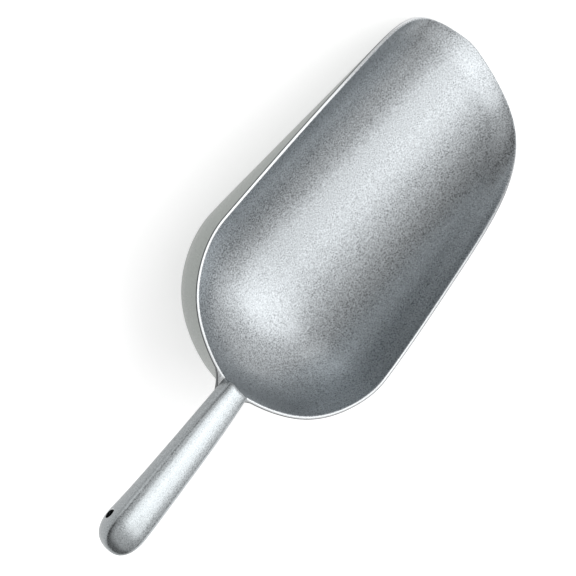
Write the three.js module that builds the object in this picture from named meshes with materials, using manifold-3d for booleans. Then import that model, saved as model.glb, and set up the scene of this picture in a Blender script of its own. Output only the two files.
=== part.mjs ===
// Hand scoop for ice, in millimetres: a round-bottomed aluminium trough with a contoured grip.
// +X runs to the lip, +Y to the left as the scoop is held, +Z up. The trough stands on its flat bottom strip.
import * as THREE from "three";
import { ParametricGeometry } from "three/addons/geometries/ParametricGeometry.js";
import { mergeVertices } from "three/addons/utils/BufferGeometryUtils.js";
import Module from "manifold-3d";

// ---- driving dimensions -------------------------------------------------
// Stations from the back of the trough to the lip: [distance from the back, half width at rim level,
// depth on the centre line, share of the quarter section by which the rim lies below rim level].
// All of them describe the middle of the wall.
const STATIONS = [
  [0.00, 0.00, 0.00, 0.0000], [1.06, 8.08, 22.47, 0.0000], [2.93, 15.99, 31.99, 0.0000],
  [5.48, 23.72, 39.57, 0.0005], [8.61, 31.23, 45.89, 0.0015], [12.36, 38.44, 51.41, 0.0034],
  [16.85, 45.20, 56.36, 0.0062], [22.16, 51.32, 60.79, 0.0098], [28.26, 56.63, 64.60, 0.0141],
  [34.98, 61.11, 67.71, 0.0187], [42.17, 64.79, 70.12, 0.0234], [49.76, 67.63, 71.89, 0.0277],
  [57.67, 69.44, 73.09, 0.0317], [65.73, 69.96, 73.80, 0.0372], [73.72, 69.62, 74.14, 0.0448],
  [81.71, 69.27, 74.24, 0.0538], [89.69, 68.93, 74.25, 0.0639], [97.67, 68.58, 74.25, 0.0748],
  [105.65, 68.24, 74.25, 0.0863], [113.62, 67.89, 74.25, 0.0984], [121.59, 67.55, 74.25, 0.1109],
  [129.55, 67.20, 74.25, 0.1237], [137.51, 66.86, 74.25, 0.1366], [145.45, 66.51, 74.25, 0.1497],
  [153.38, 66.17, 74.25, 0.1634], [161.30, 65.83, 74.25, 0.1779], [169.18, 65.49, 74.25, 0.1942],
  [177.00, 65.15, 74.25, 0.2129], [184.73, 64.81, 74.25, 0.2352], [192.31, 64.48, 74.25, 0.2618],
  [199.69, 64.16, 74.25, 0.2936], [206.75, 63.86, 74.25, 0.3313], [213.37, 63.57, 74.25, 0.3758],
  [219.44, 63.31, 74.25, 0.4277], [224.90, 63.07, 74.25, 0.4873], [229.67, 62.87, 74.25, 0.5545],
  [233.72, 62.69, 74.25, 0.6284], [237.08, 62.55, 74.25, 0.7069], [239.81, 62.43, 74.25, 0.7867],
  [241.96, 62.34, 74.25, 0.8648], [243.53, 62.27, 74.25, 0.9376], [244.32, 62.23, 74.25, 1.0000],
];
const SIDE_POWER = 2.287; // superellipse powers of the cross-section: sideways,
const DEPTH_POWER = 2.467; // and downwards
const OUTER_OFFSET = 1.1; // from the middle surface to the outer face
const RIM_WALL = 2.2; // wall at the rim land
const BODY_WALL = 3.2; // wall from THICKEN_OVER below the rim
const THICKEN_OVER = 16;
const ACROSS = 25; // facets across the trough; odd, so that the middle one lies flat on the table
const FLAT_FROM = 80; // the bottom strip is level from here to the lip

const HANDLE_LENGTH = 114.93;
const NECK_RISE = 4.42; // height of the handle's centre line over the rim at the neck
const HANDLE_SLOPE = 0.1757; // its climb towards the butt end
const HALF_WIDTHS = [7.94, 8.76, 9.45, 10.0, 10.41, 10.74, 11.04, 11.34, 11.61, 11.88, 12.13, 12.38, 12.61];
const CROWN_RATIO = 0.92; // crown height over half width
const UNDERSIDE = [8.67, 7.4, 6.36, 5.77, 5.84, 6.64, 7.81, 8.86, 10.2, 12.15, 14.65, 17.48, 20.38];
const CROWN_POWER = 3.0;
const CROWN_FALL = { over: 34, by: 0.3 }; // the crown drops by this share over this length at the butt
const UNDERSIDE_POWER = 2.6;
const BUTT_ROUND = 19.6; // length of the rounded butt
const BUTT_POWER = 2.3;
const GRIP_WALL = 2.3; // the grip is hollow
const HOLLOW_END = 107; // how far back the hollow goes
const NECK_LENGTH = 5; // stub of the grip's section on the trough's own back wall
const NECK_FRONT = 1.0; // how far forward the stub's face lies, flush with the inside of the trough
const NECK_ROOT = 8; // how much deeper the stub is where it meets the back wall
const JOINT_GAP = 0.3;
const SPIGOT_LENGTH = 26; // from the neck back into the grip
const SPIGOT_GAP = 0.4;
const HANG_HOLE = { back: 99.4, radius: 3.1, height: 18.4 }; // drilled crosswise; height over the rim
const EAR = { reach: 17, back: 6.5, thick: 2.6 }; // gussets between the rim land and the neck

// ---- helpers --------------------------------------------------------------
const wasm = await Module();
wasm.setup();
const lerp = (a, b, t) => a + (b - a) * t;
const smooth = (t) => t * t * (3 - 2 * t);

// A closed geometry as a solid: positions only, welded, without the facets that collapse at a pole.
function solid(geometry) {
  const g = geometry.clone();
  for (const name of Object.keys(g.attributes)) if (name !== "position") g.deleteAttribute(name);
  const m = mergeVertices(g, 1e-4);
  const index = [];
  for (let i = 0; i < m.index.count; i += 3) {
    const [a, b, c] = [m.index.getX(i), m.index.getX(i + 1), m.index.getX(i + 2)];
    if (a !== b && b !== c && a !== c) index.push(a, b, c);
  }
  const build = (tri) =>
    new wasm.Manifold(
      new wasm.Mesh({
        numProp: 3,
        vertProperties: new Float32Array(m.attributes.position.array),
        triVerts: new Uint32Array(tri),
      }),
    );
  const made = build(index);
  if (made.volume() > 0) return made;
  for (let i = 0; i < index.length; i += 3) [index[i], index[i + 1]] = [index[i + 1], index[i]];
  return build(index);
}

// A body whose cross-sections are closed loops of points, one loop for each station; a loop of one
// repeated point closes an end.
function lofted(loops) {
  const around = loops[0].length;
  const at = (u, v, target) => {
    const p = loops[Math.round(v * (loops.length - 1))][Math.round(u * around) % around];
    target.set(p[0], p[1], p[2]);
  };
  return solid(new ParametricGeometry(at, around, loops.length - 1));
}

function meshOf(manifold, name, material, shift) {
  const m = manifold.getMesh();
  const points = new Float32Array(m.numVert * 3);
  for (let i = 0; i < m.numVert; i++)
    for (let k = 0; k < 3; k++) points[3 * i + k] = m.vertProperties[i * m.numProp + k];
  let g = new THREE.BufferGeometry();
  g.setAttribute("position", new THREE.BufferAttribute(points, 3));
  g.setIndex(new THREE.BufferAttribute(new Uint32Array(m.triVerts), 1));
  g.translate(shift[0], shift[1], shift[2]);
  g.computeVertexNormals();
  const mesh = new THREE.Mesh(g, material);
  mesh.name = name;
  return mesh;
}

// ---- the trough -----------------------------------------------------------
// One cross-section of the middle surface, evenly spaced from the left rim to the right rim.
function section([x, half, depth, rim]) {
  if (half === 0) return Array.from({ length: ACROSS + 1 }, () => [x, 0, 0]);
  const dense = [];
  for (let i = 0; i <= 400; i++) {
    const s = (Math.PI / 2) * lerp(rim, 1, i / 400);
    dense.push([
      x,
      half * Math.pow(Math.max(Math.cos(s), 0), 2 / SIDE_POWER),
      -depth * Math.pow(Math.sin(s), 2 / DEPTH_POWER),
    ]);
  }
  const run = [0];
  for (let i = 1; i < dense.length; i++)
    run.push(run[i - 1] + Math.hypot(dense[i][1] - dense[i - 1][1], dense[i][2] - dense[i - 1][2]));
  const total = run[run.length - 1];
  const at = (want) => {
    let i = 1;
    while (i < run.length - 1 && run[i] < want) i++;
    const t = run[i] > run[i - 1] ? (want - run[i - 1]) / (run[i] - run[i - 1]) : 0;
    return dense[i].map((v, k) => lerp(dense[i - 1][k], v, t));
  };
  return Array.from({ length: ACROSS + 1 }, (_, j) => {
    const f = (2 * j) / ACROSS;
    const p = at(total * (f <= 1 ? f : 2 - f));
    return f <= 1 ? p : [p[0], -p[1], p[2]];
  });
}

const grid = STATIONS.map(section);
const normals = grid.map((row, i) =>
  row.map((p, j) => {
    if (i === 0) return [-1, 0, 0];
    if (i === grid.length - 1) return [0, 0, -1];
    const a = grid[i - 1][j],
      b = grid[i + 1][j],
      c = row[Math.max(j - 1, 0)],
      d = row[Math.min(j + 1, ACROSS)];
    const n = new THREE.Vector3(d[0] - c[0], d[1] - c[1], d[2] - c[2])
      .cross(new THREE.Vector3(b[0] - a[0], b[1] - a[1], b[2] - a[2]))
      .normalize();
    // outwards is away from the trough's axis
    if (n.y * p[1] + n.z * (p[2] + 1) < 0) n.negate();
    return [n.x, n.y, n.z];
  }),
);
const pushed = (i, j, by) => grid[i][j].map((v, k) => v + normals[i][j][k] * by);
const FLOOR = -(STATIONS[STATIONS.length - 1][2] + OUTER_OFFSET);
const midLow = (ACROSS - 1) / 2;
const shellLoops = grid.map((row, i) => {
  const outer = row.map((_, j) => {
    const p = pushed(i, j, OUTER_OFFSET);
    if (STATIONS[i][0] > FLAT_FROM && (j === midLow || j === midLow + 1)) p[2] = FLOOR;
    if (p[2] < FLOOR) p[2] = FLOOR;
    return p;
  });
  const inner = row.map((_, j) => {
    const below = Math.max(0, row[0][2] - grid[i][j][2]);
    const wall = lerp(RIM_WALL, BODY_WALL, smooth(Math.min(1, below / THICKEN_OVER)));
    return pushed(i, j, OUTER_OFFSET - wall);
  });
  return [...outer, ...inner.reverse()];
});
const shell = lofted(shellLoops);

// ---- the grip ---------------------------------------------------------------
function table(values, t) {
  const f = Math.min(Math.max(t, 0), 1) * (values.length - 1),
    i = Math.min(Math.floor(f), values.length - 2),
    u = f - i;
  const p = [i - 1, i, i + 1, i + 2].map((k) => values[Math.min(Math.max(k, 0), values.length - 1)]);
  return 0.5 * (2 * p[1] + (p[2] - p[0]) * u + (2 * p[0] - 5 * p[1] + 4 * p[2] - p[3]) * u * u + (3 * p[1] - p[0] - 3 * p[2] + p[3]) * u ** 3);
}
const centre = (back) => NECK_RISE + HANDLE_SLOPE * back;
// The grip's section `back` millimetres behind the trough, drawn in by `inset`.
function gripLoop(back, inset, count, scale = 1) {
  const t = back / HANDLE_LENGTH;
  const fall = Math.max(0, (back - HANDLE_LENGTH) / CROWN_FALL.over + 1);
  const half = (table(HALF_WIDTHS, t) - inset) * scale,
    up = (table(HALF_WIDTHS, t) * CROWN_RATIO * (1 - CROWN_FALL.by * fall ** 2) - inset) * scale,
    down = (table(UNDERSIDE, t) - inset) * scale;
  return Array.from({ length: count }, (_, k) => {
    const a = (2 * Math.PI * k) / count,
      c = Math.cos(a),
      s = Math.sin(a),
      e = 2 / (s >= 0 ? CROWN_POWER : UNDERSIDE_POWER);
    return [
      -back,
      half * Math.sign(c) * Math.abs(c) ** e,
      centre(back) + (s >= 0 ? up : down) * Math.sign(s) * Math.abs(s) ** e,
    ];
  });
}
const endPoint = (back, count) => Array.from({ length: count }, () => [-back, 0, centre(back)]);
// From `from` to `to`, flat at the front, and either flat or rounded over `round` at the back.
function gripBody(from, to, inset, count, steps, round) {
  const loops = [endPoint(from, count)];
  const straight = to - round;
  for (let i = 0; i <= steps; i++) loops.push(gripLoop(lerp(from, straight, i / steps), inset, count));
  if (round) {
    const caps = 9;
    for (let i = 1; i < caps; i++) {
      const a = (Math.PI / 2) * (i / caps);
      const d = Math.sin(a);
      loops.push(gripLoop(straight + round * d, inset, count, (1 - d ** BUTT_POWER) ** (1 / BUTT_POWER)));
    }
  }
  loops.push(endPoint(to, count));
  return lofted(loops);
}

const AROUND = 32;
let grip = gripBody(NECK_LENGTH + JOINT_GAP, HANDLE_LENGTH, 0, AROUND, 26, BUTT_ROUND);
grip = grip.subtract(gripBody(NECK_LENGTH - 1, HOLLOW_END, GRIP_WALL, 20, 14, 14));
const drill = new THREE.CylinderGeometry(HANG_HOLE.radius, HANG_HOLE.radius, 60, 28);
drill.translate(-HANG_HOLE.back, 0, HANG_HOLE.height);
grip = grip.subtract(solid(drill));

// ---- neck, spigot and gussets, one with the trough ---------------------------
const stubLoops = [endPoint(-NECK_FRONT, AROUND)];
for (let i = 0; i <= 6; i++) {
  const at = lerp(-NECK_FRONT, NECK_LENGTH, i / 6),
    root = NECK_ROOT * (1 - (at + NECK_FRONT) / (NECK_LENGTH + NECK_FRONT)) ** 2;
  // the underside runs down the back wall in a hollow curve
  stubLoops.push(gripLoop(at, 0, AROUND).map(([x, y, z]) => [x, y, z < centre(at) ? z - root * ((centre(at) - z) / UNDERSIDE[0]) : z]));
}
stubLoops.push(endPoint(NECK_LENGTH, AROUND));
const stub = lofted(stubLoops);
const spigot = gripBody(0, NECK_LENGTH + SPIGOT_LENGTH, GRIP_WALL + SPIGOT_GAP, 20, 8, 0);
// Gussets: a flat plate behind the rim land, from one side of the neck to the other, hollowed in plan.
const plate = new THREE.Shape();
const rimAt = (y) => {
  for (let i = 1; i < STATIONS.length; i++)
    if (STATIONS[i][1] >= y)
      return lerp(STATIONS[i - 1][0], STATIONS[i][0], (y - STATIONS[i - 1][1]) / (STATIONS[i][1] - STATIONS[i - 1][1]));
  return 0;
};
const steps = 10;
const edge = [];
for (let i = 0; i <= steps; i++) {
  const y = lerp(EAR.reach, 0, i / steps);
  edge.push([rimAt(y) - 0.2, y]);
}
const back = [];
for (let i = 0; i <= steps; i++) {
  const y = lerp(EAR.reach, 7, i / steps),
    t = i / steps;
  back.push([lerp(rimAt(y) - 1.0, -EAR.back, t * t), y]);
}
const outline = [
  ...edge,
  ...edge.slice(0, -1).reverse().map(([x, y]) => [x, -y]),
  ...back.map(([x, y]) => [x, -y]),
  ...back.slice().reverse(),
];
outline.forEach(([x, y], i) => (i ? plate.lineTo(x, y) : plate.moveTo(x, y)));
plate.closePath();
const ears = new THREE.ExtrudeGeometry(plate, { depth: EAR.thick, bevelEnabled: false });
ears.translate(0, 0, -EAR.thick);
// the gussets stop short of the grip, which starts behind the neck stub
const clear = gripBody(NECK_LENGTH, NECK_LENGTH + 12, -JOINT_GAP, AROUND, 3, 0);
const earSolid = solid(ears).subtract(clear);
const bowl = shell.add(stub).add(spigot).add(earSolid);

// ---- assembly -----------------------------------------------------------------
const both = [bowl.boundingBox(), grip.boundingBox()];
const low = [0, 1, 2].map((k) => Math.min(both[0].min[k], both[1].min[k])),
  high = [0, 1, 2].map((k) => Math.max(both[0].max[k], both[1].max[k]));
const shift = [-(low[0] + high[0]) / 2, 0, -low[2]];

const scoop = new THREE.Group();
scoop.add(
  meshOf(bowl, "bowl", new THREE.MeshStandardMaterial({ color: 0xa6a9ac, roughness: 0.42, metalness: 1 }), shift),
  meshOf(grip, "handle", new THREE.MeshStandardMaterial({ color: 0xb4b7ba, roughness: 0.4, metalness: 1 }), shift),
);
export default scoop;
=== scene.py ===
import math
import bmesh
import bpy
import numpy as np
from mathutils import Matrix, Vector


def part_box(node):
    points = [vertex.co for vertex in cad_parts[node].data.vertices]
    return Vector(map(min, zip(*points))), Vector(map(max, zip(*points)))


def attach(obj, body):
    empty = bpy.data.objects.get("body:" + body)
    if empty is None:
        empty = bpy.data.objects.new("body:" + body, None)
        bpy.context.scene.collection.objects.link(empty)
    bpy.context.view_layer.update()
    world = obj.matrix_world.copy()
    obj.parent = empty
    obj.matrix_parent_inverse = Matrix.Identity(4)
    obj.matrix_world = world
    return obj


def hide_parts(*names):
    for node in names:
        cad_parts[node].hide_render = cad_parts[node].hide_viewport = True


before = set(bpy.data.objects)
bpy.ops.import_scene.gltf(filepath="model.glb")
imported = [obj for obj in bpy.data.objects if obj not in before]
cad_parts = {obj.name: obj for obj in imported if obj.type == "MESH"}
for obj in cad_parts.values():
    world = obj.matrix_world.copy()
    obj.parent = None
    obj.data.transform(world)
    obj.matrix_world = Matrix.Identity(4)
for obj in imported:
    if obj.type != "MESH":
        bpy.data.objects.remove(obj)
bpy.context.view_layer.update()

# ---------------------------------------------------------------- frame of the shape tables
# The shape is written in millimetres from the back of the rim: x to the lip, y left, z up from
# rim level. BOWL_BOX ties that to the frame: the lip's middle is at x 244.32, the floor at -75.35.
BOWL_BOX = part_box("bowl")
TIP_X, FLOOR_Z = 244.32, -75.35
OX = BOWL_BOX[1][0] * 1000 - TIP_X
OZ = BOWL_BOX[0][2] * 1000 - FLOOR_Z


def to_row(p):
    """Millimetres of the tables to metres of the row frame, for an array of points."""
    return (np.asarray(p, float) + [OX, 0.0, OZ]) / 1000.0


# ---------------------------------------------------------------- the trough's middle surface
HALF, BACK_LEN, PLAN_POW = 70.0, 64.90, 1.9688
DEPTH, HEEL_LEN, HEEL_POW = 74.246, 85.914, 2.820
SIDE_POW, DEPTH_POW = 2.287, 2.467
TAPER = -0.0006184
PLAN_BEND = (-0.02154, -0.01023, -0.00799)
OUT, RIM_WALL, BODY_WALL, THICKEN = 1.1, 2.2, 3.2, 16.0
EDGE_R = 0.6  # rounded edges of the rim land: this deep, and this wide on the outside
EDGE_IN = 0.8  # and this wide on the inside
RIM = [  # distance from the back and drop below rim level, evenly spaced along the rim
    (0.000, 0.000), (1.059, 0.001), (2.925, 0.015), (5.478, 0.112), (8.609, 0.346),
    (12.358, 0.748), (16.850, 1.326), (22.165, 2.067), (28.260, 2.938), (34.979, 3.881),
    (42.175, 4.819), (49.757, 5.656), (57.670, 6.421), (65.728, 7.384), (73.725, 8.609),
    (81.711, 10.000), (89.694, 11.493), (97.674, 13.055), (105.651, 14.662), (113.624, 16.295),
    (121.592, 17.935), (129.553, 19.568), (137.506, 21.185), (145.450, 22.795), (153.383, 24.429),
    (161.301, 26.139), (169.183, 27.997), (177.003, 30.096), (184.728, 32.513), (192.312, 35.307),
    (199.690, 38.513), (206.753, 42.141), (213.368, 46.176), (219.445, 50.553), (224.900, 55.142),
    (229.670, 59.749), (233.725, 64.111), (237.084, 67.913), (239.808, 70.882), (241.958, 72.890),
    (243.531, 73.957), (244.323, 74.246),
]


def spline(xk, yk, x, start=None, end=None):
    """Cubic spline through (xk, yk). start and end are slopes, or None for a natural end."""
    xk, yk, x = map(lambda v: np.asarray(v, float), (xk, yk, x))
    n = len(xk)
    h = np.diff(xk)
    a = np.zeros((n, n))
    b = np.zeros(n)
    for i in range(1, n - 1):
        a[i, i - 1], a[i, i], a[i, i + 1] = h[i - 1], 2 * (h[i - 1] + h[i]), h[i]
        b[i] = 6 * ((yk[i + 1] - yk[i]) / h[i] - (yk[i] - yk[i - 1]) / h[i - 1])
    if start is None:
        a[0, 0] = 1
    else:
        a[0, 0], a[0, 1], b[0] = 2 * h[0], h[0], 6 * ((yk[1] - yk[0]) / h[0] - start)
    if end is None:
        a[-1, -1] = 1
    else:
        a[-1, -1], a[-1, -2], b[-1] = 2 * h[-1], h[-1], 6 * (end - (yk[-1] - yk[-2]) / h[-1])
    m = np.linalg.solve(a, b)
    i = np.clip(np.searchsorted(xk, x) - 1, 0, n - 2)
    t, u, hh = x - xk[i], xk[i + 1] - x, h[i]
    return (
        m[i] * u**3 / (6 * hh)
        + m[i + 1] * t**3 / (6 * hh)
        + (yk[i] / hh - m[i] * hh / 6) * u
        + (yk[i + 1] / hh - m[i + 1] * hh / 6) * t
    )


def superr(psi, a, b):
    c, s = np.cos(psi), np.sin(psi)
    r = np.ones_like(psi)
    for _ in range(40):
        f = (r * c) ** a + (r * s) ** b - 1
        g = a * (r * c) ** (a - 1) * c + b * (r * s) ** (b - 1) * s
        r = np.clip(r - f / g, 0.3, 2)
    return r


PSI = np.linspace(0, np.pi / 2, 1500)
_r = superr(PSI, PLAN_POW, PLAN_POW) * np.exp(spline(np.linspace(0, np.pi / 2, 5), [0, *PLAN_BEND, 0], PSI, None, 0.0))
PLAN_X, PLAN_Y = BACK_LEN * (1 - _r * np.cos(PSI)), HALF * _r * np.sin(PSI)
PLAN_X[0], PLAN_Y[0] = 0.0, 0.0


def half_width(x):
    base = np.interp(np.minimum(x, BACK_LEN), PLAN_X, PLAN_Y)
    ahead = x - BACK_LEN
    soft = 0.5 * (ahead + np.sqrt(ahead**2 + 14.0**2)) - 0.5 * (-BACK_LEN + math.sqrt(BACK_LEN**2 + 14.0**2))
    return base * (1 + TAPER * soft)


def depth(x):
    v = np.clip(1 - x / HEEL_LEN, 0, 1)
    return DEPTH * np.clip(1 - v**HEEL_POW, 0, 1) ** (1 / HEEL_POW)


def sigma_of(z, x):
    d = depth(x)
    return np.where(d > 0, np.arcsin(np.clip(-z / np.maximum(d, 1e-9), 0, 1) ** (DEPTH_POW / 2)), 0.0)


def mid_point(x, sigma, side):
    w, d = half_width(x), depth(x)
    return np.stack(
        [
            x,
            side * w * np.clip(np.cos(sigma), 0, 1) ** (2 / SIDE_POW),
            -d * np.clip(np.sin(sigma), 0, 1) ** (2 / DEPTH_POW),
        ],
        -1,
    )


def outward(x, y, z):
    """Unit normal of the middle surface, away from the hollow."""
    e = np.minimum(0.04 * x, 0.15) + 1e-9
    lo, hi = np.maximum(x - e, 0), x + e
    run = np.maximum(hi - lo, 1e-12)
    wx, dx = (half_width(hi) - half_width(lo)) / run, (depth(hi) - depth(lo)) / run
    w, d = np.maximum(half_width(x), 1e-6), np.maximum(depth(x), 1e-6)
    a, b = np.clip(np.abs(y) / w, 0, 1), np.clip(-z / d, 0, 1)
    nx = -SIDE_POW * a**SIDE_POW * wx / w - DEPTH_POW * b**DEPTH_POW * dx / d
    ny = SIDE_POW * a ** (SIDE_POW - 1) / w * np.sign(y)
    nz = -DEPTH_POW * b ** (DEPTH_POW - 1) / d
    n = np.stack([nx, ny, nz], -1)
    length = np.linalg.norm(n, axis=-1, keepdims=True)
    n = np.where(length > 1e-12, n / np.maximum(length, 1e-12), [-1.0, 0.0, 0.0])
    return n


def smoothstep(t):
    t = np.clip(t, 0, 1)
    return t * t * (3 - 2 * t)


ROWS, COLS = 260, 150
rim_k = np.linspace(0, 1, len(RIM))
dense_k = np.linspace(0, 1, 4001)
rim_x = np.clip(spline(rim_k, [p[0] for p in RIM], dense_k, 0.0, 0.0), 0, TIP_X)
rim_x = np.maximum.accumulate(rim_x)
rim_z = -np.clip(spline(rim_k, [p[1] for p in RIM], dense_k, 0.0, None), 0, DEPTH)
rim_p = mid_point(rim_x, sigma_of(rim_z, rim_x), 1.0)
rim_p[0], rim_p[-1] = (0, 0, 0), (TIP_X, 0, -DEPTH)


def run_of(p):
    return np.r_[0, np.cumsum(np.linalg.norm(np.diff(p, axis=0), axis=1))]


rim_run = run_of(rim_p)
pick = np.interp(np.linspace(0, rim_run[-1], ROWS), rim_run, dense_k)


def at(values):
    return np.stack([np.interp(pick, dense_k, values[:, i]) for i in range(3)], -1)


edge = at(rim_p)
edge[0], edge[-1] = rim_p[0], rim_p[-1]
edge_n = outward(edge[:, 0], edge[:, 1], edge[:, 2])
edge_n[0], edge_n[-1] = (-1, 0, 0), (0, 0, -1)
along = np.gradient(rim_p, axis=0)
along = at(along / np.maximum(np.linalg.norm(along, axis=1, keepdims=True), 1e-12))
along[0], along[-1] = (0, 1, 0), (0, -1, 0)
edge_up = np.cross(along, edge_n)
edge_up /= np.linalg.norm(edge_up, axis=1, keepdims=True)
edge_up *= np.where(edge_up[:, 2:3] + 0.3 * edge_up[:, 0:1] < 0, -1.0, 1.0)
edge_up[0], edge_up[-1] = (0, 0, 1), (1, 0, 0)

# the surfaces stop EDGE_R short of the rim; the rounded edges and the land close them
stop = edge - edge_up * EDGE_R
stop_x = np.clip(stop[:, 0], 0, None)
stop_sigma = sigma_of(np.minimum(stop[:, 2], 0), np.maximum(stop_x, 1e-7))
stop_sigma[-1] = np.pi / 2


def section(k):
    """Evenly spaced points of the middle surface at row k, from the left edge to the right."""
    x = stop_x[k]
    if k == 0 or k == ROWS - 1:
        return np.repeat(stop[k : k + 1], COLS + 1, 0)
    s = np.linspace(stop_sigma[k], np.pi / 2, 900)
    p = mid_point(np.full_like(s, x), s, 1.0)
    r = run_of(p)
    f = np.abs(np.linspace(-1, 1, COLS + 1))
    want = (1 - f) * r[-1]
    q = np.stack([np.interp(want, r, p[:, i]) for i in range(3)], -1)
    q[:, 1] *= np.where(np.linspace(-1, 1, COLS + 1) < 0, 1.0, -1.0)
    return q


mid = np.stack([section(k) for k in range(ROWS)])
nrm = outward(mid[..., 0], mid[..., 1], mid[..., 2])
nrm[0], nrm[-1] = (-1, 0, 0), (0, 0, -1)
below = np.maximum(edge[:, None, 2] - mid[..., 2], 0)
wall = RIM_WALL + (BODY_WALL - RIM_WALL) * smoothstep(below / THICKEN)
outer = mid + nrm * OUT
outer[..., 2] = np.maximum(outer[..., 2], FLOOR_Z)
inner = mid + nrm * (OUT - wall)[..., None]


def corner(side, inside):
    """Rows of points that round one edge of the rim land."""
    e = edge * [1, side, 1]
    n = edge_n * [1, side, 1]
    u = edge_up * [1, side, 1]
    half = OUT if not inside else -(RIM_WALL - OUT)
    wide = EDGE_R if not inside else -EDGE_IN
    rows = []
    for a in np.radians([22.5, 45, 67.5, 90]):
        rows.append(e + n * (half - wide * (1 - math.cos(a))) - u * EDGE_R * (1 - math.sin(a)))
    return rows


left_outer, left_inner = corner(1, False), corner(1, True)
right_outer, right_inner = corner(-1, False), corner(-1, True)
loop = (
    [outer[:, j] for j in range(COLS + 1)]
    + right_outer
    + right_inner[::-1]
    + [inner[:, j] for j in range(COLS, -1, -1)]
    + left_inner
    + left_outer[::-1]
)
loop = np.stack(loop, 1)
AROUND = loop.shape[1]
land_cols = set(range(COLS + 3, COLS + 6)) | set(range(2 * COLS + 12, 2 * COLS + 15))
# faces of the rim's outer rounded edge, which get painted shade
painted_shade_cols = set(range(COLS, COLS + 3)) | set(range(2 * COLS + 15, 2 * COLS + 18))


def make_mesh(name, verts, faces, mats, face_mat=None):
    me = bpy.data.meshes.new(name)
    me.from_pydata([tuple(v) for v in verts], [], faces)
    for m in mats:
        me.materials.append(m)
    if face_mat is not None:
        me.polygons.foreach_set("material_index", face_mat)
    bm = bmesh.new()
    bm.from_mesh(me)
    bmesh.ops.remove_doubles(bm, verts=bm.verts, dist=2e-6)
    bmesh.ops.dissolve_degenerate(bm, edges=bm.edges, dist=1e-6)
    bmesh.ops.recalc_face_normals(bm, faces=bm.faces)
    bm.to_mesh(me)
    bm.free()
    me.update()
    ob = bpy.data.objects.new(name, me)
    bpy.context.scene.collection.objects.link(ob)
    return ob


def loft(name, loops, mats, mat_of=None, closed_ends=True):
    """Closed body through loops of equal length. Its ends are points."""
    loops = np.asarray(loops, float)
    rows, count = loops.shape[0], loops.shape[1]
    verts = to_row(loops.reshape(-1, 3))
    faces, fm = [], []
    for i in range(rows - 1):
        for j in range(count):
            k = (j + 1) % count
            faces.append((i * count + j, i * count + k, (i + 1) * count + k, (i + 1) * count + j))
            fm.append(mat_of(i, j) if mat_of else 0)
    return make_mesh(name, verts, faces, mats, fm)


def boolean(target, other, operation):
    m = target.modifiers.new("b", "BOOLEAN")
    m.operation, m.solver, m.object = operation, "EXACT", other
    dg = bpy.context.evaluated_depsgraph_get()
    me = bpy.data.meshes.new_from_object(target.evaluated_get(dg))
    target.modifiers.clear()
    old = target.data
    target.data = me
    bpy.data.meshes.remove(old)
    od = other.data
    bpy.data.objects.remove(other)
    bpy.data.meshes.remove(od)


GRIP_LEN, NECK_RISE, GRIP_SLOPE = 114.93, 4.42, 0.1757


# ---------------------------------------------------------------- materials
def metal(name, tint, rough, grain=0.13, rough_var=0.10, bump=0.35, mottle=0.03, grain_mm=0.8, painted_light_bands=()):
    """Blasted cast aluminium: an even fine grain in colour, roughness and relief, and faint mottling; the bands paint
    light and shade into its colour.
    """
    m = bpy.data.materials.new(name)
    m.use_nodes = True
    nt = m.node_tree
    nd, ln = nt.nodes, nt.links
    nd.clear()
    out = nd.new("ShaderNodeOutputMaterial")
    bs = nd.new("ShaderNodeBsdfPrincipled")
    bs.inputs["Metallic"].default_value = 1.0
    ln.new(bs.outputs["BSDF"], out.inputs["Surface"])
    tc = nd.new("ShaderNodeTexCoord")

    def noise(scale, detail=2.0, rough_=0.6):
        n = nd.new("ShaderNodeTexNoise")
        n.inputs["Scale"].default_value = scale
        n.inputs["Detail"].default_value = detail
        n.inputs["Roughness"].default_value = rough_
        ln.new(tc.outputs["Object"], n.inputs["Vector"])
        return n.outputs["Fac"]

    def remap(v, lo, hi, a=0.25, b=0.75):
        r = nd.new("ShaderNodeMapRange")
        r.inputs["From Min"].default_value, r.inputs["From Max"].default_value = a, b
        r.inputs["To Min"].default_value, r.inputs["To Max"].default_value = lo, hi
        ln.new(v, r.inputs["Value"])
        return r.outputs["Result"]

    def math_(op, a, b):
        x = nd.new("ShaderNodeMath")
        x.operation = op
        for i, v in enumerate((a, b)):
            if isinstance(v, (int, float)):
                x.inputs[i].default_value = v
            else:
                ln.new(v, x.inputs[i])
        return x.outputs[0]

    speck = noise(1000.0 / grain_mm, 1.0, 0.5)
    cloud = noise(38.0, 3.0, 0.55)
    shade = math_("MULTIPLY", remap(speck, 1 - grain, 1 + grain, 0.3, 0.7), remap(cloud, 1 - mottle, 1 + mottle))
    # each band is painted light or painted shade: the colour is scaled brighter or darker along a direction
    for direction, start, end, low, high in painted_light_bands:  # a brighter or darker zone along a direction
        dot = nd.new("ShaderNodeVectorMath")
        dot.operation = "DOT_PRODUCT"
        dot.inputs[1].default_value = direction
        ln.new(tc.outputs["Object"], dot.inputs[0])
        shade = math_("MULTIPLY", shade, remap(dot.outputs["Value"], low, high, start, end))
    col = nd.new("ShaderNodeMix")
    col.data_type = "RGBA"
    col.blend_type = "MULTIPLY"
    col.inputs["Factor"].default_value = 1.0
    col.inputs["A"].default_value = (*tint, 1)
    ln.new(shade, col.inputs["B"])
    ln.new(col.outputs["Result"], bs.inputs["Base Color"])
    ln.new(
        math_("ADD", remap(speck, rough - rough_var, rough + rough_var, 0.3, 0.7), remap(cloud, -0.02, 0.02)),
        bs.inputs["Roughness"],
    )
    bp = nd.new("ShaderNodeBump")
    bp.inputs["Strength"].default_value = bump
    bp.inputs["Distance"].default_value = 0.00012
    ln.new(speck, bp.inputs["Height"])
    ln.new(bp.outputs["Normal"], bs.inputs["Normal"])
    return m


# painted light in the two bands: the trough's right wall is painted darker (painted shade), and its left wall, more so
# near the back, painted brighter (painted light)
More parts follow.
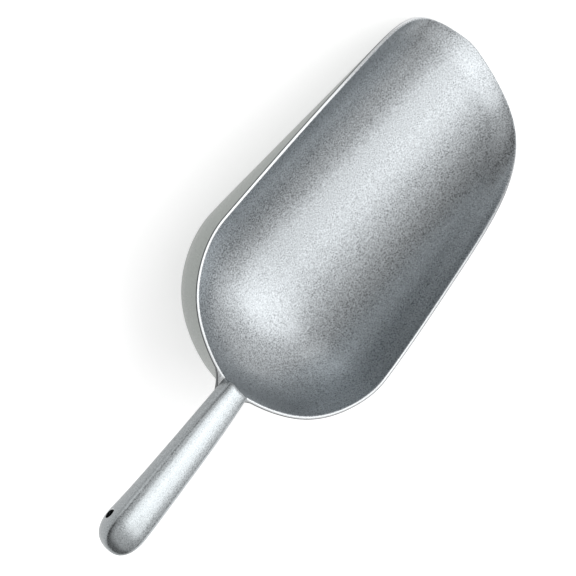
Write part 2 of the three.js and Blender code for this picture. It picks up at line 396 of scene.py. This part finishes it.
BLASTED = metal(
    "blasted_aluminium", (0.455, 0.479, 0.4965), 0.32, grain=0.42, bump=0.4,
    painted_light_bands=[((0.12, -1, 0), 0.050, 0.068, 1.0, 0.74), ((-0.1, 1, 0), 0.0245, 0.0505, 1.0, 1.17)],
)
# painted shade: the outside's tint is set darker than the inside's, lowered to offset the light the outer wall
# reflects from the glowing floor
SHADED_OUTSIDE = metal("cast_aluminium_outside_painted_shade", (0.266, 0.284, 0.27), 0.34, grain=0.2, bump=0.2)
# painted light: the upper face of the grip is painted brighter than its flanks (painted highlight), with a painted
# dark band along its shoulder (painted shade), and painted a little brighter towards the neck: the dot product with
# the first direction is the height over the grip's centre line
LEVEL = (NECK_RISE + OZ + GRIP_SLOPE * OX) / 1000.0
GRIP = metal(
    "blasted_aluminium_grip", (0.45, 0.478, 0.492), 0.30, grain=0.24, rough_var=0.07, bump=0.25,
    painted_light_bands=[
        ((GRIP_SLOPE, 0, 1), LEVEL + 0.0042, LEVEL + 0.0056, 1.0, 0.84),
        ((GRIP_SLOPE, 0, 1), LEVEL + 0.0056, LEVEL + 0.0073, 0.64, 1.28),
        ((1, 0, 0), OX / 1000 - 0.105, OX / 1000 - 0.008, 0.93, 1.05),
    ],
)
GROUND = metal("ground_aluminium_edge", (0.58, 0.595, 0.605), 0.26, grain=0.05, rough_var=0.05, bump=0.05, mottle=0.03)
# painted shade: a dark tint on the rim's outer rounded edge, in the crease around the neck's base and on the ears'
# outer edges
PAINTED_SHADE = metal("painted_shade_edge", (0.11, 0.115, 0.115), 0.4, grain=0.1, bump=0.1)

# ---------------------------------------------------------------- the grip's section
KNOT = np.linspace(0, 1, 13)
HALF_W = [7.94, 8.76, 9.45, 10.0, 10.41, 10.74, 11.04, 11.34, 11.61, 11.88, 12.13, 12.38, 12.61]
UNDER = [8.67, 7.4, 6.36, 5.77, 5.84, 6.64, 7.81, 8.86, 10.2, 12.15, 14.65, 17.48, 20.38]
CROWN, CROWN_POW, UNDER_POW, CROWN_FALL = 0.917, 3.0, 2.6, 34.0
BUTT, BUTT_POW = 19.6, 2.3
NECK_LEN, NECK_ROOT = 5.0, 8.0


def centre(back):
    return NECK_RISE + GRIP_SLOPE * back


def grip_loop(back, inset=0.0, count=72, scale=1.0, top=None):
    t = np.clip(back / GRIP_LEN, 0, 1)
    hw = float(spline(KNOT, HALF_W, [t])[0])
    dn = float(spline(KNOT, UNDER, [t])[0])
    fall = max(0.0, (back - GRIP_LEN) / CROWN_FALL + 1)  # the crown drops at the butt
    up = (hw * CROWN * (1 - 0.3 * fall**2) - inset) * scale
    half, down = (hw - inset) * scale, (dn - inset) * scale
    if top is not None:
        up -= top
    a = np.linspace(0, 2 * np.pi, count, endpoint=False)
    c, s = np.cos(a), np.sin(a)
    e = np.where(s >= 0, 2 / CROWN_POW, 2 / UNDER_POW)
    y = half * np.sign(c) * np.abs(c) ** e
    z = centre(back) + np.where(s >= 0, up, down) * np.sign(s) * np.abs(s) ** e
    return np.stack([np.full(count, -back), y, z], -1)


def end_point(back, count=72):
    return np.repeat([[-back, 0.0, centre(back)]], count, 0)


def grip_body(name, start, stop_, inset, rounded, mats, rows=90, count=72):
    loops = [end_point(start, count)]
    straight = stop_ - rounded
    for f in np.linspace(0, 1, rows):
        loops.append(grip_loop(start + (straight - start) * f, inset, count))
    for a in np.linspace(0, np.pi / 2, 22)[1:-1]:
        d = math.sin(a)
        loops.append(grip_loop(straight + rounded * d, inset, count, (1 - d**BUTT_POW) ** (1 / BUTT_POW)))
    loops.append(end_point(stop_, count))
    return loft(name, loops, mats)


# ---------------------------------------------------------------- bowl piece
mats_bowl = [BLASTED, GROUND, PAINTED_SHADE, GRIP, SHADED_OUTSIDE]
# rim land ground; the rim's outer rounded edge painted shade; the outside in its darker, painted-shade tint; the
# inside blasted
bowl = loft("scoop_bowl", loop, mats_bowl, lambda i, j: 1 if j in land_cols else 2 if j in painted_shade_cols else 4 if j < COLS else 0)


def inner_rim_x(y):
    """x of the middle of the rim at half width y, near the neck."""
    return np.interp(np.abs(y), PLAN_Y, PLAN_X)


def neck_stub():
    loops = []
    count = 72
    front = 1.05
    stations = []
    for a in np.linspace(0, np.pi / 2, 6):  # rounded front edge of the crown
        stations.append((-front + 1.6 * (1 - math.cos(a)), 1.6 * (1 - math.sin(a))))
    stations += [(b, 0.0) for b in np.linspace(0.9, NECK_LEN, 7)]
    loops.append(np.repeat([[front, 0.0, centre(0)]], count, 0))
    for back, inset in stations:
        p = grip_loop(back, inset, count)
        ahead = np.clip(1 - (back + front) / (NECK_LEN + front), 0, 1)
        root = NECK_ROOT * ahead**2
        low = np.clip((centre(back) - p[:, 2]) / UNDER[0], 0, None)
        p[:, 2] -= root * low
        p[:, 0] += inner_rim_x(p[:, 1]) * ahead * (p[:, 2] > -3)
        loops.append(p)
    loops.append(end_point(NECK_LEN, count))
    return loft("stub", loops, mats_bowl, lambda i, j: 3)


def ear(side):
    """The gusset beside the neck: level with the rim land at its far end, rising in a fillet to the neck."""
    far, near = 17.0, 6.0
    rows = []
    for f in np.linspace(0, 1, 15):
        y = far + (near - far) * f
        x_in = float(inner_rim_x(y)) + 0.25
        x_out = float(inner_rim_x(y)) - 1.05 - (3.6 + float(inner_rim_x(far))) * f**2.2
        rise = 2.2 * max(0.0, (9.6 - y) / 3.6) ** 2
        low = -2.8
        top = -0.02 + rise
        rows.append(
            [
                [x_in, side * y, low],
                [x_in, side * y, top - 0.3],
                [x_in - 0.3, side * y, top],
                [x_out + 0.5, side * y, top],
                [x_out + 0.12, side * y, top - 0.12],
                [x_out, side * y, top - 0.5],
                [x_out + 0.2, side * y, low],
            ]
        )
    n = len(rows[0])
    verts = to_row(np.array(rows).reshape(-1, 3))
    faces, fm = [], []
    for i in range(len(rows) - 1):
        for j in range(n):
            k = (j + 1) % n
            faces.append((i * n + j, i * n + k, (i + 1) * n + k, (i + 1) * n + j))
            # ear faces: the top is ground land; the outer edge, and near the neck the crease around the neck's base,
            # get painted shade
            fm.append(2 if i >= 12 and 1 <= j <= 4 else 1 if 1 <= j <= 2 else 2 if j <= 5 else 0)
    for i in (0, len(rows) - 1):
        faces.append(tuple(i * n + j for j in range(n)))
        fm.append(0)
    return make_mesh("ear", verts, faces, mats_bowl, fm)


for piece in (ear(1), ear(-1), neck_stub()):
    boolean(bowl, piece, "UNION")

# ---------------------------------------------------------------- handle piece
mats_grip = [GRIP, GROUND]
handle = grip_body("scoop_handle", NECK_LEN + 0.03, GRIP_LEN, 0.0, BUTT, mats_grip)
core = grip_body("core", NECK_LEN - 1, 107.0, 2.3, 14.0, mats_grip, rows=30, count=40)
boolean(handle, core, "DIFFERENCE")
HOLE_X, HOLE_Z, HOLE_R = -99.4, 18.4, 3.1
t_hole = -HOLE_X / GRIP_LEN
flank = float(spline(KNOT, HALF_W, [t_hole])[0])
profile = [(-30, 0.0), (-30, 6.0), (-flank - 0.5, 4.3), (-flank + 0.55, HOLE_R), (flank - 0.55, HOLE_R), (flank + 0.5, 4.3), (30, 6.0), (30, 0.0)]
drill_loops = []
for y, r in profile:
    a = np.linspace(0, 2 * np.pi, 48, endpoint=False)
    drill_loops.append(np.stack([HOLE_X + r * np.cos(a), np.full(48, float(y)), HOLE_Z + r * np.sin(a)], -1))
drill = loft("drill", drill_loops, mats_grip, lambda i, j: 1 if i in (2, 4) else 0)
boolean(handle, drill, "DIFFERENCE")

for ob, node, slot_name in ((bowl, "bowl", "bowl_aluminium"), (handle, "handle", "handle_aluminium")):
    me = ob.data
    me.polygons.foreach_set("use_smooth", [True] * len(me.polygons))
    me.set_sharp_from_angle(angle=math.radians(38))
    me.update()
    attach(ob, "root")
    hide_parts(node)

# ---------------------------------------------------------------- floor, light, camera
def floor_material():
    m = bpy.data.materials.new("pale_floor")
    m.use_nodes = True
    nt = m.node_tree
    bs = nt.nodes["Principled BSDF"]
    tc = nt.nodes.new("ShaderNodeTexCoord")
    ns = nt.nodes.new("ShaderNodeTexNoise")
    ns.inputs["Scale"].default_value = 6.0
    nt.links.new(tc.outputs["Object"], ns.inputs["Vector"])
    cr = nt.nodes.new("ShaderNodeValToRGB")
    cr.color_ramp.elements[0].color = (0.86, 0.86, 0.86, 1)
    cr.color_ramp.elements[1].color = (0.90, 0.90, 0.90, 1)
    nt.links.new(ns.outputs["Fac"], cr.inputs["Fac"])
    nt.links.new(cr.outputs["Color"], bs.inputs["Base Color"])
    bs.inputs["Roughness"].default_value = 0.9
    bs.inputs["Specular IOR Level"].default_value = 0.0
    bs.inputs["Emission Color"].default_value = (1, 1, 1, 1)
    bs.inputs["Emission Strength"].default_value = 0.55  # a translucent table top, lit a little from below
    return m


me = bpy.data.meshes.new("floor")
R = 14.0
ring = [(R * math.cos(a), R * math.sin(a), -0.0002) for a in np.linspace(0, 2 * math.pi, 96, endpoint=False)]
me.from_pydata(ring, [], [tuple(range(96))])
me.materials.append(floor_material())
floor = bpy.data.objects.new("floor", me)
bpy.context.scene.collection.objects.link(floor)

world = bpy.data.worlds.new("studio")
bpy.context.scene.world = world
world.use_nodes = True
world.node_tree.nodes["Background"].inputs["Color"].default_value = (1.0, 1.0, 1.0, 1)


def room(floor_level, lobes):
    """Soft room light: a level plus a smooth lobe for each direction."""
    nt = world.node_tree
    tc = nt.nodes.new("ShaderNodeTexCoord")
    total = None
    for towards, strength in lobes:
        dot = nt.nodes.new("ShaderNodeVectorMath")
        dot.operation = "DOT_PRODUCT"
        dot.inputs[1].default_value = towards
        nt.links.new(tc.outputs["Generated"], dot.inputs[0])
        cut = nt.nodes.new("ShaderNodeMath")
        cut.operation = "MAXIMUM"
        cut.inputs[1].default_value = 0.0
        nt.links.new(dot.outputs["Value"], cut.inputs[0])
        add = nt.nodes.new("ShaderNodeMath")
        add.operation = "MULTIPLY_ADD"
        add.inputs[1].default_value = strength
        nt.links.new(cut.outputs[0], add.inputs[0])
        if total is None:
            add.inputs[2].default_value = floor_level
        else:
            nt.links.new(total, add.inputs[2])
        total = add.outputs[0]
    nt.links.new(total, nt.nodes["Background"].inputs["Strength"])


room(0.03, [((1, 0, 0), 0.636), ((0, -1, 0), 0.096), ((0, 0, 1), 0.636)])


def softbox(name, towards, distance, size, radiance, aim=(0.0, 0.0, 0.04), colour=(1, 1, 1), spread=180):
    d = Vector(towards).normalized()
    li = bpy.data.lights.new(name, "AREA")
    li.shape = "ELLIPSE"
    li.size, li.size_y = size
    li.energy = radiance * math.pi * math.pi / 4 * size[0] * size[1]
    li.color = colour
    li.spread = math.radians(spread)
    ob = bpy.data.objects.new(name, li)
    ob.location = Vector(aim) + d * distance
    ob.rotation_mode = "QUATERNION"
    ob.rotation_quaternion = d.to_track_quat("Z", "Y")
    ob.visible_camera = False
    bpy.context.scene.collection.objects.link(ob)
    return ob


# one broad window of light beyond the lip, built of round panels two metres away:
# azimuth, elevation, width and height in degrees, radiance
PANELS = [
    (22.5, 74, 18, 17, 1.05), (292.5, 74, 18, 17, 0.96), (337.5, 74, 18, 17, 1.01), (0, 58, 20, 17, 1.1),
    (36, 58, 20, 17, 1.2), (72, 58, 20, 17, 0.2), (288, 58, 20, 17, 1.01), (324, 58, 20, 17, 1.94),
    (45, 42, 22, 17, 0.23), (315, 42, 22, 17, 0.47), (60, 26, 26, 17, 0.53), (270, 26, 26, 17, 0.36),
    (300, 26, 26, 17, 0.39),
]
for az, el, wide, high, radiance in PANELS:
    a, e = math.radians(az), math.radians(el)
    softbox(
        "panel",
        (math.cos(a) * math.cos(e), math.sin(a) * math.cos(e), math.sin(e)),
        2.0,
        (4 * math.tan(math.radians(wide / 2)), 4 * math.tan(math.radians(high / 2))),
        radiance,
    )

# camera: the rows are its right, up and backward axes in the table frame
AXES = np.array(
    [
        [0.6722513, -0.6397543, 0.3725488],
        [0.7329946, 0.64581, -0.2136549],
        [-0.1039091, 0.4167061, 0.903083],
    ]
)
SCALE, NEAR = 1.7970825, 0.0002  # pixels per millimetre at the rim's back, and one over the distance
OFF = (231.58, 388.28)  # where the rim's back lies in the 576 picture
aim_mm = AXES.T @ np.array([(288 - OFF[0]) / SCALE, -(288 - OFF[1]) / SCALE, 0.0])
eye_mm = AXES[2] / NEAR
cam_data = bpy.data.cameras.new("camera")
cam_data.sensor_width = 36.0
cam_data.lens = SCALE / NEAR / 576 * 36.0
cam_data.clip_end = 100
cam = bpy.data.objects.new("camera", cam_data)
eye, aim = Vector(to_row(eye_mm)), Vector(to_row(aim_mm))
zc = (eye - aim).normalized()
xc = Vector(AXES[0])
xc = (xc - zc * xc.dot(zc)).normalized()
yc = zc.cross(xc)
cam.matrix_world = Matrix.Translation(eye) @ Matrix((xc, yc, zc)).transposed().to_4x4()
bpy.context.scene.collection.objects.link(cam)
bpy.context.scene.camera = cam
bpy.context.scene.view_settings.view_transform = "Standard"
